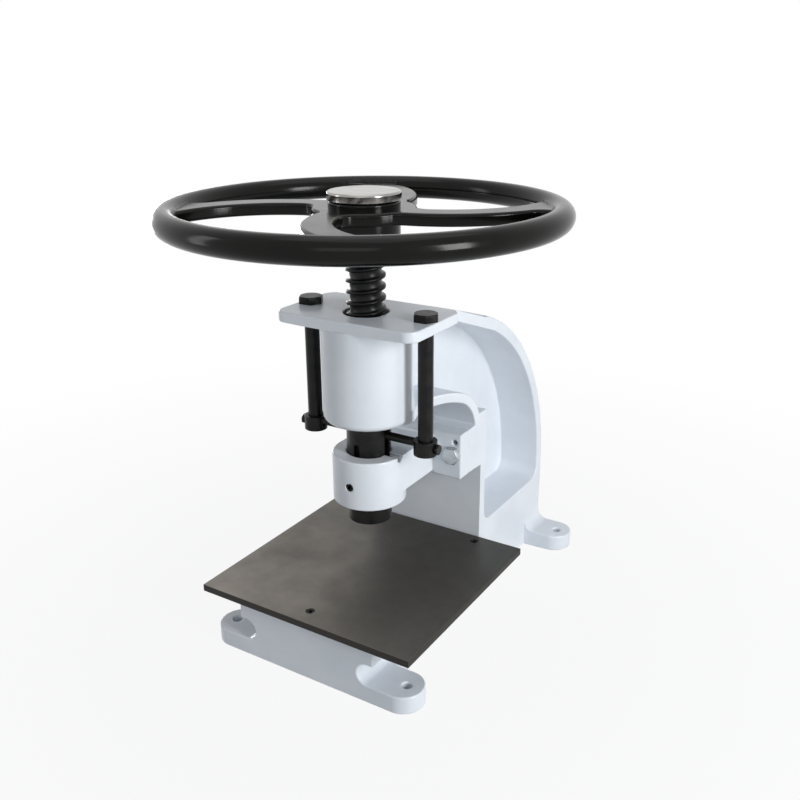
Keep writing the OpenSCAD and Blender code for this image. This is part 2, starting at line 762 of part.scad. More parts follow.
module left_clamp_screw() clamp_screw(-1);
module right_clamp_screw() clamp_screw(1);

// A pair of pins that cross the ram beside the journal of the screw
module retainer_pair(d, len) {
    for (side = [-1, 1]) translate([side * retainer_x, -len / 2, ram_top - retainer_drop]) along_y(d, len);
}

module ram() color(black_oxide) at_axis() difference() {
    translate([0, 0, ram_low]) cylinder(d = ram_d, h = ram_top - ram_low);
    translate([0, 0, ram_top - journal_len - pass_gap])
        cylinder(r = journal_d / 2 + slide_gap, h = journal_len + pass_gap + cut);
    for (side = [0, 1]) mirror([side, 0, 0]) {
        half = arm_d / 2 + pass_gap;
        translate([ram_d / 2 - side_groove, -half, groove_low + half])
            cube([side_groove + cut, 2 * half, groove_top - groove_low - half]);
        translate([ram_d / 2 - side_groove, 0, groove_low + half]) along_x(2 * half, side_groove + cut);
    }
    round_z = [keyway_low + keyway_w / 2, keyway_top - keyway_w / 2];
    translate([-keyway_w / 2, -ram_d / 2 - cut, round_z[0]])
        cube([keyway_w, keyway_depth + cut, round_z[1] - round_z[0]]);
    for (z = round_z) translate([0, -ram_d / 2 - cut, z]) along_y(keyway_w, keyway_depth + cut);
    retainer_pair(retainer_d + 2 * seat_gap, ram_d);
}

module ram_retaining_pins() color(bare_steel) at_axis()
    retainer_pair(retainer_d, 2 * sqrt(pow(ram_d / 2, 2) - pow(retainer_x + retainer_d / 2, 2)) - cut);

// One race of the thrust bearing, with its ball groove on the side away from the seat
module race(low, bore_gap, groove_z) {
    difference() {
        translate([0, 0, low]) cylinder(d = race_d, h = race_t);
        translate([0, 0, low - cut]) cylinder(r = journal_d / 2 + bore_gap, h = race_t + 2 * cut);
        translate([0, 0, groove_z]) rotate_extrude()
            translate([ball_ring_r, 0]) circle(ball_d / 2 + slide_gap);
    }
}

module bearing_lower_race() color(bare_steel) at_axis() race(ram_top, 2 * slide_gap, ball_z);

module bearing_upper_race() color(bare_steel) at_axis() race(screw_low - race_t, seat_gap, ball_z);

module bearing_balls() color("silver") at_axis()
    for (i = [0 : ball_count - 1]) rotate(360 * i / ball_count) translate([ball_ring_r, 0, ball_z])
        sphere(d = ball_d);

module bearing_cage() color(bronze) at_axis() difference() {
    translate([0, 0, ball_z - cage_t / 2]) cylinder(d = race_d - cut, h = cage_t);
    translate([0, 0, ball_z - cage_t]) cylinder(d = journal_d + cut, h = 2 * cage_t);
    for (i = [0 : ball_count - 1]) rotate(360 * i / ball_count) translate([ball_ring_r, 0, ball_z - cage_t])
        cylinder(d = ball_d + 2 * slide_gap, h = 2 * cage_t);
}

module press_screw() color(black_oxide) at_axis() {
    turns = floor((hub_low - thread_start - 1) / screw_pitch) - 1;
    overlap = 4;
    difference() {
        union() {
            thread_body(screw_low, hub_low, thread_start, turns, 0);
            translate([0, 0, ram_top - journal_len])
                cylinder(d = journal_d, h = screw_low - ram_top + journal_len + overlap);
            translate([0, 0, hub_low - overlap]) cylinder(d = seat_d, h = hub_floor - cut + overlap);
            translate([0, 0, hub_low]) cylinder(d = stud_d, h = hub_floor + hub_washer_t + hub_nut_t + cut);
        }
        slot = retainer_d + 2 * slide_gap;
        translate([0, 0, ram_top - retainer_drop]) rotate_extrude()
            translate([retainer_x, 0]) square(slot, center = true);
        hub_key_space(seat_gap);
    }
}

// The key and the slots that it fills in the screw and the hub
module hub_key_space(grow) {
    long = hub_floor - 4 * cut;
    translate([-hub_key_w / 2 - grow, seat_d / 2 - hub_key_h / 2 - grow, hub_low + 2 * cut - grow])
        cube([hub_key_w + 2 * grow, hub_key_h + 2 * grow, long + 2 * grow]);
}

module wheel_key() color(bare_steel) at_axis() hub_key_space(0);

// Openings between the spokes: sharp sectors drawn in, then rounded out again
module wheel_openings() {
    f = spoke_fillet;
    offset(r = f, $fn = 48) difference() {
        circle(rim_mid_r - rim_bite - f, $fn = 120);
        circle(spoke_disc_r + f, $fn = 72);
        for (i = [0 : spoke_count - 1]) rotate(spoke_turn + 360 * i / spoke_count)
            intersection() {
                translate([0, -wheel_d]) square(2 * wheel_d);
                translate([0, spoke_bend_r]) difference() {
                    circle(spoke_bend_r + spoke_w / 2 + f, $fn = 180);
                    circle(spoke_bend_r - spoke_w / 2 - f, $fn = 180);
                }
            }
    }
}

module handwheel() color("#141414") at_axis() difference() {
    union() {
        translate([0, 0, rim_z]) rotate_extrude() translate([rim_mid_r, 0]) circle(d = rim_d);
        translate([0, 0, rim_z - spoke_drop - spoke_t / 2]) linear_extrude(spoke_t) difference() {
            circle(rim_mid_r);
            wheel_openings();
        }
        translate([0, 0, hub_low]) cylinder(d = hub_d, h = hub_h);
    }
    translate([0, 0, hub_low - cut]) cylinder(r = seat_d / 2 + seat_gap, h = hub_h);
    translate([0, 0, hub_low + hub_floor]) cylinder(d = hub_pocket_d, h = hub_h);
    hub_key_space(seat_gap);
}

module hub_washer() color(bare_steel) at_axis() translate([0, 0, hub_low + hub_floor]) difference() {
    cylinder(d = hub_washer_d, h = hub_washer_t);
    translate([0, 0, -cut]) cylinder(r = stud_d / 2 + slide_gap, h = hub_washer_t + 2 * cut);
}

module hub_nut() color(bare_steel) at_axis()
    translate([0, 0, hub_low + hub_floor + hub_washer_t]) difference() {
        hex_head(hub_nut_af, hub_nut_t);
        translate([0, 0, -cut]) cylinder(r = stud_d / 2 + seat_gap, h = hub_nut_t + 2 * cut);
    }

module hub_cap() color("#D9DCDD") at_axis() translate([0, 0, hub_top]) {
    edge = 2;
    spigot = 3;
    spigot_wall = 4;
    rotate_extrude() {
        square([cap_d / 2 - edge, cap_t]);
        square([cap_d / 2, cap_t - edge]);
        translate([cap_d / 2 - edge, cap_t - edge]) circle(edge);
    }
    translate([0, 0, -spigot]) difference() {
        cylinder(r = hub_pocket_d / 2 - slide_gap, h = spigot + cut);
        translate([0, 0, -cut]) cylinder(r = hub_pocket_d / 2 - spigot_wall, h = spigot + cut);
    }
}

frame_casting();
bed_plate();
bed_plate_screws();
screw_nut();
nut_dowels();
nut_retaining_ring();
upper_guide_bush();
ram_guide_bracket();
guide_bolts();
guide_dowels();
ram_key_screw();
left_stop_rod();
right_stop_rod();
left_stop_arm();
right_stop_arm();
left_clamp_screw();
right_clamp_screw();
ram();
ram_retaining_pins();
bearing_lower_race();
bearing_balls();
bearing_cage();
bearing_upper_race();
press_screw();
handwheel();
wheel_key();
hub_washer();
hub_nut();
hub_cap();
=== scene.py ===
import json
import math

import bmesh
import bpy
from mathutils import Matrix, Vector
from mathutils.bvhtree import BVHTree


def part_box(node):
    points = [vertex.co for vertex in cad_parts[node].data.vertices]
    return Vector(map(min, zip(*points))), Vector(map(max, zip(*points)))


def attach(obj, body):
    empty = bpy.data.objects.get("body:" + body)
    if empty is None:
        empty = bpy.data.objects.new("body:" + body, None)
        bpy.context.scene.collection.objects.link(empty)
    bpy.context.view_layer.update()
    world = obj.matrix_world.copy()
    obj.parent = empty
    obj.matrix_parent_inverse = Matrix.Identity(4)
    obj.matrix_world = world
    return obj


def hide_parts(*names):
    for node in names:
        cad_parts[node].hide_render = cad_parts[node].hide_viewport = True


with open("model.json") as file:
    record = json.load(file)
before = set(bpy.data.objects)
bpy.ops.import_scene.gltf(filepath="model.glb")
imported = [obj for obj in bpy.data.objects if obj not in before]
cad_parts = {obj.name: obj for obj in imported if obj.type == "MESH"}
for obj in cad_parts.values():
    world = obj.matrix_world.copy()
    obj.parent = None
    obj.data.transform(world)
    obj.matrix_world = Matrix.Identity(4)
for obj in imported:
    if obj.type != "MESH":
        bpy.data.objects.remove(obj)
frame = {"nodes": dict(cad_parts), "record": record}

bl_info = {
    "name": "Hand-wheel screw press",
    "version": (1, 0, 0),
    "blender": (4, 5, 0),
    "location": "View3D > Sidebar > Press",
    "description": "Dresses the bench screw press: castings, screw, wheel, ram, stops and stage",
    "category": "Object",
}

MM = 0.001
WHITE = (1, 1, 1, 1)

# Meshes: points nearer than this are one, faces flatter than this join, edges that turn by more than this
# are rounded, and faces that meet at less than this shade as one
MERGE_WITHIN = 0.01 * MM
FLAT_WITHIN = math.radians(0.2)
ROUND_ABOVE = math.radians(35)
SMOOTH_BELOW = math.radians(38)

# Rounding is tried first: how often, how far a point may leave the skin as a share of the width, the
# smallest face that counts as turned over, and how near such a place an edge stays sharp, in widths
ROUNDING_TRIES = 5
STRAY_SHARE = 0.6
SLIVER_AREA = 0.01 * MM * MM
FOLD_REACH = 1.5

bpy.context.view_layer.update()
SLOT_OF = {part["node"]: part["material_slot"] for part in frame["record"]["subparts"]}
BODY_OF = {node: body for body, nodes in frame["record"]["behaviour"]["bodies"].items() for node in nodes}

# The screw's axis stands in the middle of the ram.
RAM_LOW, RAM_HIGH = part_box("ram")
AXIS = Vector(((RAM_LOW.x + RAM_HIGH.x) / 2, (RAM_LOW.y + RAM_HIGH.y) / 2, 0))

# Painted shade on the bed plate deepens from its front left corner to its back right one.
PAINTED_SHADE_WAY = (0.6, 0.8, 0.0)
BED_LOW, BED_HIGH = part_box("bed_plate")
PAINTED_SHADE_FROM = BED_LOW.dot(Vector(PAINTED_SHADE_WAY))
PAINTED_SHADE_TO = BED_HIGH.dot(Vector(PAINTED_SHADE_WAY))


def linear(colour):
    """An sRGB hex colour as linear red, green and blue."""
    parts = [int(colour[i:i + 2], 16) / 255 for i in (1, 3, 5)]
    return tuple(c / 12.92 if c <= 0.04045 else ((c + 0.055) / 1.055) ** 2.4 for c in parts)


def colour_property(name, description, colour):
    return bpy.props.FloatVectorProperty(
        name=name, description=description, subtype="COLOR", size=3, min=0, max=1, default=linear(colour))


def length_property(name, description, millimetres):
    return bpy.props.FloatProperty(
        name=name, description=description, subtype="DISTANCE", unit="LENGTH", min=0,
        default=millimetres * MM, precision=5)


class PressColours(bpy.types.PropertyGroup):
    """Colours of the press and its stage"""

    enamel: colour_property("Casting enamel", "Cool white gloss paint of the castings", "#E4E9EF")
    enamel_thin: colour_property("Casting enamel, thin", "Paint where the coat is thinner", "#D8DEE5")
    bed: colour_property("Bed steel", "Ground steel of the bed plate", "#7A746D")
    bed_stain: colour_property("Bed stain", "Darker oxide clouds on the bed plate", "#5E5A54")
    # Painted shade: the colour the bed plate darkens to towards its back right.
    bed_painted_shade: colour_property("Bed oil", "Oil left towards the back of the bed plate", "#403F3C")
    # Painted shade: the darker colour given to the bed plate's side faces.
    bed_painted_shade_sides: colour_property("Bed skin", "Rolled skin left on the bed plate's edges", "#2B2926")
    oxide: colour_property("Black oxide", "Blackened steel of screw, ram, rods and arms", "#121314")
    oxide_worn: colour_property("Black oxide, worn", "Rubbed places of the blackened steel", "#222120")
    zinc: colour_property("Zinc plate", "Plated bracket bolts", "#C4C9CC")
    steel: colour_property("Plain steel", "Dowels, ring, pins and bearing", "#6B6966")
    bronze: colour_property("Bronze", "Nut, bush and ball cage", "#B08D57")
    wheel: colour_property("Wheel enamel", "Glossy black stove enamel of the wheel", "#080807")
    wheel_thin: colour_property("Wheel enamel, thin", "Enamel where the coat is thinner", "#0E0D0B")
    chrome: colour_property("Chrome", "Polished plate of the hub cap", "#A3A19D")
    floor: colour_property("Floor", "Pale floor under the press", "#B8BABC")


class PressSizes(bpy.types.PropertyGroup):
    """Edge roundings of the press"""

    cast_edge: length_property("Cast edge", "Rounding of the castings' edges", 1.6)
    plate_edge: length_property("Plate edge", "Broken edge of the bed plate", 0.5)
    turned_edge: length_property("Turned edge", "Broken edge of turned pieces", 0.5)
    small_edge: length_property("Small edge", "Broken edge of small fasteners", 0.25)
    wheel_edge: length_property("Wheel edge", "Rounding of the spokes and hub", 3.0)


def add_node(tree, kind, inputs, **settings):
    """Adds a shader node with its settings. Inputs are values, or other nodes' sockets to link."""
    made = tree.nodes.new(kind)
    for name, value in settings.items():
        setattr(made, name, value)
    for name, value in inputs.items():
        if isinstance(value, bpy.types.NodeSocket):
            tree.links.new(value, made.inputs[name])
        else:
            made.inputs[name].default_value = value
    return made


def grain(size_mm):
    """Scale of a pattern whose features are about that many millimetres."""
    return 1 / (size_mm * MM)


def rgba(colour):
    return (*colour, 1)


def dimmed(colour, share):
    """A colour with only that share of its light."""
    return tuple(share * part for part in colour)


def start_material(name, constants):
    """A material with a shader whose constants are set, and the place on the piece for its patterns."""
    made = bpy.data.materials.new(name)
    made.use_nodes = True
    tree = made.node_tree
    tree.nodes.clear()
    shader = add_node(tree, "ShaderNodeBsdfPrincipled", constants)
    add_node(tree, "ShaderNodeOutputMaterial", {"Surface": shader.outputs["BSDF"]})
    place = add_node(tree, "ShaderNodeTexCoord", {}).outputs["Object"]
    return made, tree, shader, place


def cloud_over(tree, shader, place, size_mm, colours, roughness):
    """Drifts between two shades of a colour, and between two roughnesses, over the surface."""
    cloud = add_node(
        tree, "ShaderNodeTexNoise",
        {"Vector": place, "Scale": grain(size_mm), "Detail": 5.0, "Roughness": 0.6})
    # Noise keeps to the middle of its range, so that middle is spread over the whole.
    spread = add_node(
        tree, "ShaderNodeMapRange", {"Value": cloud.outputs["Fac"], "From Min": 0.3, "From Max": 0.7})
    shade = add_node(
        tree, "ShaderNodeMixRGB",
        {"Fac": spread.outputs["Result"], "Color1": rgba(colours[0]), "Color2": rgba(colours[1])})
    gloss = add_node(
        tree, "ShaderNodeMapRange",
        {"Value": spread.outputs["Result"], "To Min": roughness[0], "To Max": roughness[1]})
    tree.links.new(shade.outputs["Color"], shader.inputs["Base Color"])
    tree.links.new(gloss.outputs["Result"], shader.inputs["Roughness"])
    return shade.outputs["Color"]


def enamel_on_casting(colours):
    # Gloss enamel over a rubbed-down sand casting. The eye gets a cool white with slow ripples from the
    # rubbing, and a fine orange peel from the spray gun that is drawn coarser than it is, to show.
    made, tree, shader, place = start_material(
        "gloss_enamel_on_casting", {"Coat Weight": 0.25, "Coat Roughness": 0.15})
    cloud_over(tree, shader, place, 70, (colours.enamel, colours.enamel_thin), (0.30, 0.42))
    ripple = add_node(tree, "ShaderNodeTexNoise", {"Vector": place, "Scale": grain(14), "Detail": 2.0})
    peel = add_node(tree, "ShaderNodeTexNoise", {"Vector": place, "Scale": grain(1.6), "Detail": 1.0})
    slow = add_node(
        tree, "ShaderNodeBump",
        {"Height": ripple.outputs["Fac"], "Distance": 0.35 * MM, "Strength": 0.35})
    fine = add_node(
        tree, "ShaderNodeBump",
        {"Height": peel.outputs["Fac"], "Distance": 0.05 * MM, "Strength": 0.35,
         "Normal": slow.outputs["Normal"]})
    tree.links.new(fine.outputs["Normal"], shader.inputs["Normal"])
    return made


def ground_bed_steel(colours):
    # Surface-ground steel. The eye gets a dull brown-grey sheen, long fine lines from the grinding wheel,
    # drawn coarser than they are to show, darker clouds, painted shade that darkens the plate towards its
    # back right, and side faces painted darker as shade.
    made, tree, shader, place = start_material("ground_bed_steel", {"Metallic": 0.8})
    stained = cloud_over(tree, shader, place, 60, (colours.bed, colours.bed_stain), (0.36, 0.52))
    # Painted shade: the colour darkens from the plate's front left to its back right.
    across = add_node(
        tree, "ShaderNodeVectorMath", {0: place, 1: PAINTED_SHADE_WAY}, operation="DOT_PRODUCT")
    painted_shade_share = add_node(
        tree, "ShaderNodeMapRange",
        {"Value": across.outputs["Value"], "From Min": PAINTED_SHADE_FROM, "From Max": PAINTED_SHADE_TO, "To Max": 0.85},
        interpolation_type="SMOOTHSTEP")
    painted_shade_mix = add_node(
        tree, "ShaderNodeMixRGB",
        {"Fac": painted_shade_share.outputs["Result"], "Color1": stained, "Color2": rgba(colours.bed_painted_shade)})
    # The side faces are painted darker as shade; only what faces up keeps the steel's colour.
    facing = add_node(tree, "ShaderNodeTexCoord", {}).outputs["Normal"]
    upward = add_node(tree, "ShaderNodeSeparateXYZ", {"Vector": facing})
    top_share = add_node(
        tree, "ShaderNodeMapRange", {"Value": upward.outputs["Z"], "From Min": 0.5, "From Max": 0.8})
    side_shaded = add_node(
        tree, "ShaderNodeMixRGB",
        {"Fac": top_share.outputs["Result"], "Color1": rgba(colours.bed_painted_shade_sides),
         "Color2": painted_shade_mix.outputs["Color"]})
    tree.links.new(side_shaded.outputs["Color"], shader.inputs["Base Color"])
    along = add_node(
        tree, "ShaderNodeMapping", {"Vector": place, "Scale": (grain(60), grain(0.9), grain(8))})
    lines = add_node(
        tree, "ShaderNodeTexNoise", {"Vector": along.outputs["Vector"], "Scale": 1.0, "Detail": 3.0})
    scratch = add_node(
        tree, "ShaderNodeBump", {"Height": lines.outputs["Fac"], "Distance": 0.04 * MM, "Strength": 0.6})
    tree.links.new(scratch.outputs["Normal"], shader.inputs["Normal"])
    return made


def black_oxide_steel(colours):
    # Turned steel with a black oxide coat. The eye gets a soft near-black with a satin sheen, fine
    # rings from the lathe and lighter places where the coat has been rubbed.
    made, tree, shader, place = start_material(
        "black_oxide_steel", {"Metallic": 0.6, "Specular IOR Level": 0.3})
    cloud_over(tree, shader, place, 11, (colours.oxide, colours.oxide_worn), (0.28, 0.44))
    turned = add_node(
        tree, "ShaderNodeMapping", {"Vector": place, "Scale": (grain(20), grain(20), grain(0.7))})
    rings = add_node(
        tree, "ShaderNodeTexNoise", {"Vector": turned.outputs["Vector"], "Scale": 1.0, "Detail": 2.0})
    marks = add_node(
        tree, "ShaderNodeBump", {"Height": rings.outputs["Fac"], "Distance": 0.02 * MM, "Strength": 0.5})
    tree.links.new(marks.outputs["Normal"], shader.inputs["Normal"])
    return made


def machined_metal(name, colour, size_mm):
    # Bare or plated metal from the machine. The eye gets a clear metal colour that drifts a little
    # darker and duller in places, with faint tool marks.
    made, tree, shader, place = start_material(name, {"Metallic": 1.0})
    mark_mm = size_mm / 6
    cloud_over(tree, shader, place, size_mm, (colour, dimmed(colour, 0.8)), (0.24, 0.38))
    marks = add_node(
        tree, "ShaderNodeTexNoise", {"Vector": place, "Scale": grain(mark_mm), "Detail": 2.0})
    relief = add_node(
        tree, "ShaderNodeBump", {"Height": marks.outputs["Fac"], "Distance": 0.02 * MM, "Strength": 0.4})
    tree.links.new(relief.outputs["Normal"], shader.inputs["Normal"])
    return made


def zinc_plate(colours):
    return machined_metal("bright_zinc_plate", colours.zinc, 6)


def turned_steel(colours):
    return machined_metal("turned_steel", colours.steel, 9)


def machined_bronze(colours):
    return machined_metal("machined_bronze", colours.bronze, 9)


def wheel_stove_enamel(colours):
    # Stove enamel on a cast wheel. The eye gets a deep gloss black whose long highlights are bent by
    # slow ripples in the casting under the coat.
    made, tree, shader, place = start_material("black_stove_enamel", {"Specular IOR Level": 0.16})
    cloud_over(tree, shader, place, 30, (colours.wheel, colours.wheel_thin), (0.12, 0.20))
    ripple = add_node(tree, "ShaderNodeTexNoise", {"Vector": place, "Scale": grain(16), "Detail": 1.0})
    slow = add_node(
        tree, "ShaderNodeBump", {"Height": ripple.outputs["Fac"], "Distance": 0.25 * MM, "Strength": 0.3})
    tree.links.new(slow.outputs["Normal"], shader.inputs["Normal"])
    return made


def turned_chrome(colours):
    # Chrome plate over a faced disc. The eye gets a bright, slightly clouded mirror, with the lathe's rings
    # still showing, drawn wider than they are.
    made, tree, shader, place = start_material("turned_chrome", {"Metallic": 1.0})
    cloud_over(tree, shader, place, 18, (colours.chrome, dimmed(colours.chrome, 0.85)), (0.10, 0.22))
    centred = add_node(tree, "ShaderNodeMapping", {"Vector": place, "Location": tuple(-AXIS)})
    rings = add_node(
        tree, "ShaderNodeTexWave",
        {"Vector": centred.outputs["Vector"], "Scale": grain(1.1) / (2 * math.pi), "Distortion": 1.5},
        wave_type="RINGS", rings_direction="Z")
    marks = add_node(
        tree, "ShaderNodeBump", {"Height": rings.outputs["Fac"], "Distance": 0.02 * MM, "Strength": 0.3})
    tree.links.new(marks.outputs["Normal"], shader.inputs["Normal"])
    return made


MAKERS = {
    "casting_paint": enamel_on_casting,
    "bare_steel": turned_steel,
    "bed_steel": ground_bed_steel,
    "black_oxide": black_oxide_steel,
    "zinc": zinc_plate,
    "bronze": machined_bronze,
    "wheel_enamel": wheel_stove_enamel,
    "chrome": turned_chrome,
}
FINISHES = {}


def finish_of(context, node):
    """The material of a node's slot, made when it is first asked for."""
    slot = SLOT_OF[node]
    if slot not in FINISHES:
        FINISHES[slot] = MAKERS[slot](context.scene.press_colours)
    return FINISHES[slot]


def merged_copy(node):
    """The node's own mesh with its loose triangles joined."""
    mesh = bmesh.new()
    mesh.from_mesh(frame["nodes"][node].data)
    bmesh.ops.remove_doubles(mesh, verts=mesh.verts, dist=MERGE_WITHIN)
    return mesh


def round_edges(mesh, edges, width, segments):
    bmesh.ops.bevel(
        mesh, geom=edges, offset=width, offset_type="OFFSET", segments=segments, profile=0.5,
        affect="EDGES", clamp_overlap=False, material=-1)


def folds(mesh, skin, width):
    """The places where rounding has thrown a point off the skin or turned a face over."""
    bmesh.ops.triangulate(mesh, faces=mesh.faces)
    places = []
    for point in mesh.verts:
        nearest, _, _, distance = skin.find_nearest(point.co)
        if distance > STRAY_SHARE * width:
            places.append(nearest)
    for face in mesh.faces:
        _, normal, _, _ = skin.find_nearest(face.calc_center_median())
        if face.calc_area() > SLIVER_AREA and normal.dot(face.normal) < 0:
            shortest = min(face.edges, key=lambda edge: edge.calc_length())
            places.append((shortest.verts[0].co + shortest.verts[1].co) / 2)
    return places


def soften(mesh, width, segments, inside, tries):
    """Joins flat triangles, then rounds the sharp edges, with inner corners only where inside is set.
    Rounding is tried on a copy first, and edges beside a place where it folds over stay sharp."""
    bmesh.ops.dissolve_limit(
        mesh, angle_limit=FLAT_WITHIN, use_dissolve_boundaries=False,
        verts=mesh.verts, edges=mesh.edges, delimit=set())
    skin = BVHTree.FromBMesh(mesh)
    reach = FOLD_REACH * width
    edges = [
        e for e in mesh.edges
        if len(e.link_faces) == 2 and e.calc_face_angle() > ROUND_ABOVE and (inside or e.is_convex)]
    for _ in range(tries):
        mesh.edges.index_update()
        trial = mesh.copy()
        trial.edges.ensure_lookup_table()
        round_edges(trial, [trial.edges[e.index] for e in edges], width, segments)
        places = folds(trial, skin, width)
        trial.free()
        if not places:
            break
        edges = [
            e for e in edges
            if all((v.co - place).length > reach for v in e.verts for place in places)]
    round_edges(mesh, edges, width, segments)


def piece_name(node):
    return node + "_piece"


def settle(context, mesh, node):
    """Turns a bmesh into a finished piece that stands for a node and moves with its body."""
    data = bpy.data.meshes.new(piece_name(node))
    mesh.to_mesh(data)
    mesh.free()
    data.materials.append(finish_of(context, node))
    data.shade_smooth()
    data.set_sharp_from_angle(angle=SMOOTH_BELOW)
    piece = bpy.data.objects.new(piece_name(node), data)
    context.scene.collection.objects.link(piece)
    even = piece.modifiers.new("even_shading", "WEIGHTED_NORMAL")
    even.keep_sharp = True
    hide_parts(node)
    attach(piece, BODY_OF[node])


def dress(context, node, width, segments=3, inside=True, tries=ROUNDING_TRIES):
    """Makes a node's piece: its own shape with its edges rounded, if a width is given, and its finish."""
    mesh = merged_copy(node)
    if width:
        soften(mesh, width, segments, inside, tries)
    settle(context, mesh, node)


class PRESS_OT_castings(bpy.types.Operator):
    """Frame casting and guide bracket, with cast edges and white enamel"""

    bl_idname = "press.castings"
    bl_label = "Castings"

    def execute(self, context):
        sizes = context.scene.press_sizes
        for node in ("frame_casting", "ram_guide_bracket"):
            dress(context, node, sizes.cast_edge)
        return {"FINISHED"}


class PRESS_OT_bed(bpy.types.Operator):
    """Bed plate of ground steel with its sunk socket screws"""

    bl_idname = "press.bed"
    bl_label = "Bed plate"

    def execute(self, context):
        sizes = context.scene.press_sizes
        dress(context, "bed_plate", sizes.plate_edge, segments=2)
        dress(context, "bed_plate_screws", sizes.small_edge, segments=2)
        return {"FINISHED"}


class PRESS_OT_screw(bpy.types.Operator):
    """Press screw with its trapezoidal thread"""

    bl_idname = "press.screw"
    bl_label = "Press screw"

    def execute(self, context):
        dress(context, "press_screw", width=0)
        return {"FINISHED"}


class PRESS_OT_wheel(bpy.types.Operator):
    """Hand wheel with a round rim, spokes and hub, and its chrome cap"""

    bl_idname = "press.wheel"
    bl_label = "Hand wheel"

    def execute(self, context):
        sizes = context.scene.press_sizes
        # The spokes' edges run into the round rim, where an edge left sharp would end in a nib, so
        # rounding isn't tried first.
        dress(context, "handwheel", sizes.wheel_edge, segments=6, inside=False, tries=0)
        dress(context, "hub_cap", sizes.turned_edge)
        return {"FINISHED"}


class PRESS_OT_ram(bpy.types.Operator):
    """Round ram with its keyway and side grooves, and the key screw that guides it"""

    bl_idname = "press.ram"
    bl_label = "Ram"

    def execute(self, context):
        sizes = context.scene.press_sizes
        dress(context, "ram", sizes.turned_edge)
        dress(context, "ram_key_screw", sizes.small_edge, segments=2)
        return {"FINISHED"}


class PRESS_OT_stops(bpy.types.Operator):
    """Stop rods, stop arms and their clamp screws"""

    bl_idname = "press.stops"
    bl_label = "Stops"

    def execute(self, context):
        sizes = context.scene.press_sizes
        for side in ("left", "right"):
            dress(context, side + "_stop_rod", sizes.turned_edge)
            dress(context, side + "_stop_arm", sizes.turned_edge)
            dress(context, side + "_clamp_screw", sizes.small_edge)
        return {"FINISHED"}


class PRESS_OT_bracket_bolts(bpy.types.Operator):
    """Plated bolts of the guide bracket"""

    bl_idname = "press.bracket_bolts"
    bl_label = "Bracket bolts"

    def execute(self, context):
        dress(context, "guide_bolts", context.scene.press_sizes.small_edge)
        return {"FINISHED"}


class PRESS_OT_inner_works(bpy.types.Operator):
    """Finishes of the pieces inside: nut, bush, bearing, dowels and hub fastening"""

    bl_idname = "press.inner_works"
    bl_label = "Inner works"

    def execute(self, context):
        hidden = [node for node in frame["nodes"] if not bpy.data.objects.get(piece_name(node))]
        for node in sorted(hidden):
            data = frame["nodes"][node].data
            data.materials.clear()
            data.materials.append(finish_of(context, node))
        return {"FINISHED"}


# The camera as fitted to the photograph: its place and aim from the screw's axis, its roll, and its lens
# and sensor in millimetres
CAMERA_FROM = Vector((451.1, -662.2, 536.6)) * MM
CAMERA_TO = Vector((35.0, 0.0, 244.4)) * MM
CAMERA_ROLL = math.radians(-0.41)
CAMERA_LENS = 41.37
CAMERA_SENSOR = 36

# The floor's half width in metres. It is plain white from a distance on, and nearer the press than that a
# share of its own colour is left, which takes the shadow.
FLOOR_REACH = 30.0
WHITE_NEAR = 0.25
WHITE_FAR = 0.9
WHITE_SHARE_NEAR = 0.9

# Light from all round, with its linear tint
WORLD_LIGHT = 0.22
WORLD_TINT = (0.87, 0.94, 1.0)

# Each lamp: its name, place from the screw's axis, width and height in metres, and power in watts. All
# point at the axis, at a height above the bench.
LAMP_AIM = Vector((0, 0, 0.2))
LAMPS = (
    ("right_softbox", (1.5, -0.30, 0.60), 0.4, 0.9, 20.0),
    ("camera_softbox", (0.7, -1.5, 1.0), 0.9, 0.6, 2.0),
    ("left_strip", (-1.3, -0.9, 0.6), 0.3, 1.3, 4.0),
    ("top_softbox", (0.0, 0.1, 1.8), 1.2, 1.2, 4.0),
    ("back_softbox", (-1.4, 0.9, 0.25), 0.7, 0.45, 5.0),
)


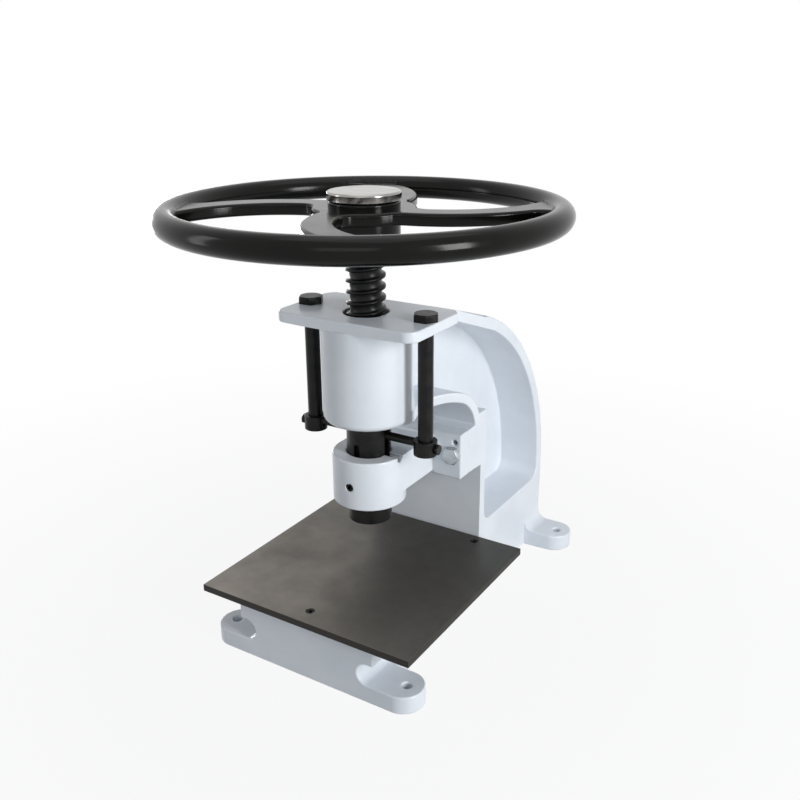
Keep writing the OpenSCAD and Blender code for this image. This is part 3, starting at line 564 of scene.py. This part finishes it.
class PRESS_OT_stage(bpy.types.Operator):
    """Pale floor, soft lights and the camera at the photograph's angle"""

    bl_idname = "press.stage"
    bl_label = "Stage"

    def execute(self, context):
        scene = context.scene
        scene.view_settings.view_transform = "Standard"
        self.lay_floor(context)
        self.light_world(scene)
        self.hang_lamps(scene)
        self.set_camera(scene)
        return {"FINISHED"}

    def lay_floor(self, context):
        mesh = bmesh.new()
        bmesh.ops.create_grid(mesh, x_segments=1, y_segments=1, size=FLOOR_REACH)
        data = bpy.data.meshes.new("floor")
        mesh.to_mesh(data)
        mesh.free()
        floor = bpy.data.objects.new("floor", data)
        context.scene.collection.objects.link(floor)
        data.materials.append(self.matt_white_floor(context.scene.press_colours))

    def matt_white_floor(self, colours):
        # Matt white paper. The eye gets an even white, with the press's faint shadow on it.
        made, tree, shader, place = start_material(
            "matt_white_floor", {"Base Color": rgba(colours.floor), "Roughness": 0.9})
        from_axis = add_node(
            tree, "ShaderNodeVectorMath", {0: place, 1: tuple(AXIS)}, operation="DISTANCE")
        white = add_node(
            tree, "ShaderNodeMapRange",
            {"Value": from_axis.outputs["Value"], "From Min": WHITE_NEAR, "From Max": WHITE_FAR,
             "To Min": WHITE_SHARE_NEAR})
        share = add_node(
            tree, "ShaderNodeMath", {0: self.background_ray(tree), 1: white.outputs["Result"]},
            operation="MULTIPLY")
        glow = add_node(tree, "ShaderNodeEmission", {"Color": WHITE, "Strength": 1.0})
        mix = add_node(
            tree, "ShaderNodeMixShader",
            {"Fac": share.outputs["Value"], 1: shader.outputs["BSDF"], 2: glow.outputs["Emission"]})
        surface = next(node for node in tree.nodes if node.type == "OUTPUT_MATERIAL").inputs["Surface"]
        tree.links.new(mix.outputs["Shader"], surface)
        return made

    def background_ray(self, tree):
        """One for the rays that see the background: from the camera, in gloss and through glass."""
        ray = add_node(tree, "ShaderNodeLightPath", {})
        seen = add_node(
            tree, "ShaderNodeMath", {0: ray.outputs["Is Camera Ray"], 1: ray.outputs["Is Glossy Ray"]},
            operation="MAXIMUM")
        either = add_node(
            tree, "ShaderNodeMath", {0: seen.outputs["Value"], 1: ray.outputs["Is Transmission Ray"]},
            operation="MAXIMUM")
        return either.outputs["Value"]

    def light_world(self, scene):
        world = bpy.data.worlds.new("studio")
        scene.world = world
        world.use_nodes = True
        tree = world.node_tree
        tree.nodes.clear()
        soft = add_node(
            tree, "ShaderNodeBackground", {"Color": rgba(WORLD_TINT), "Strength": WORLD_LIGHT})
        white = add_node(tree, "ShaderNodeBackground", {"Color": WHITE, "Strength": 1.0})
        mix = add_node(
            tree, "ShaderNodeMixShader",
            {"Fac": self.background_ray(tree),
             1: soft.outputs["Background"], 2: white.outputs["Background"]})
        add_node(tree, "ShaderNodeOutputWorld", {"Surface": mix.outputs["Shader"]})

    def hang_lamps(self, scene):
        aim = AXIS + LAMP_AIM
        for name, place, width, height, power in LAMPS:
            lamp = bpy.data.lights.new(name, "AREA")
            lamp.shape = "RECTANGLE"
            lamp.size = width
            lamp.size_y = height
            lamp.energy = power
            hung = bpy.data.objects.new(name, lamp)
            hung.location = AXIS + Vector(place)
            hung.rotation_euler = (aim - hung.location).to_track_quat("-Z", "Y").to_euler()
            scene.collection.objects.link(hung)

    def set_camera(self, scene):
        lens = bpy.data.cameras.new("camera")
        lens.sensor_width = CAMERA_SENSOR
        lens.lens = CAMERA_LENS
        camera = bpy.data.objects.new("camera", lens)
        look = (CAMERA_TO - CAMERA_FROM).to_track_quat("-Z", "Y").to_matrix().to_4x4()
        camera.matrix_world = (
            Matrix.Translation(AXIS + CAMERA_FROM) @ look @ Matrix.Rotation(CAMERA_ROLL, 4, "Z"))
        scene.collection.objects.link(camera)
        scene.camera = camera


STEPS = (
    PRESS_OT_castings, PRESS_OT_bed, PRESS_OT_screw, PRESS_OT_wheel, PRESS_OT_ram, PRESS_OT_stops,
    PRESS_OT_bracket_bolts, PRESS_OT_inner_works, PRESS_OT_stage,
)


class PRESS_PT_sidebar(bpy.types.Panel):
    """Lists the steps that dress the press"""

    bl_idname = "PRESS_PT_sidebar"
    bl_label = "Screw press"
    bl_space_type = "VIEW_3D"
    bl_region_type = "UI"
    bl_category = "Press"

    def draw(self, context):
        for step in STEPS:
            self.layout.operator(step.bl_idname)


CLASSES = (PressColours, PressSizes) + STEPS + (PRESS_PT_sidebar,)


def register():
    for kind in CLASSES:
        bpy.utils.register_class(kind)
    bpy.types.Scene.press_colours = bpy.props.PointerProperty(type=PressColours)
    bpy.types.Scene.press_sizes = bpy.props.PointerProperty(type=PressSizes)


def unregister():
    del bpy.types.Scene.press_sizes
    del bpy.types.Scene.press_colours
    for kind in reversed(CLASSES):
        bpy.utils.unregister_class(kind)


def main():
    register()
    for step in STEPS:
        group, name = step.bl_idname.split(".")
        getattr(getattr(bpy.ops, group), name)()


if __name__ == "__main__":
    main()
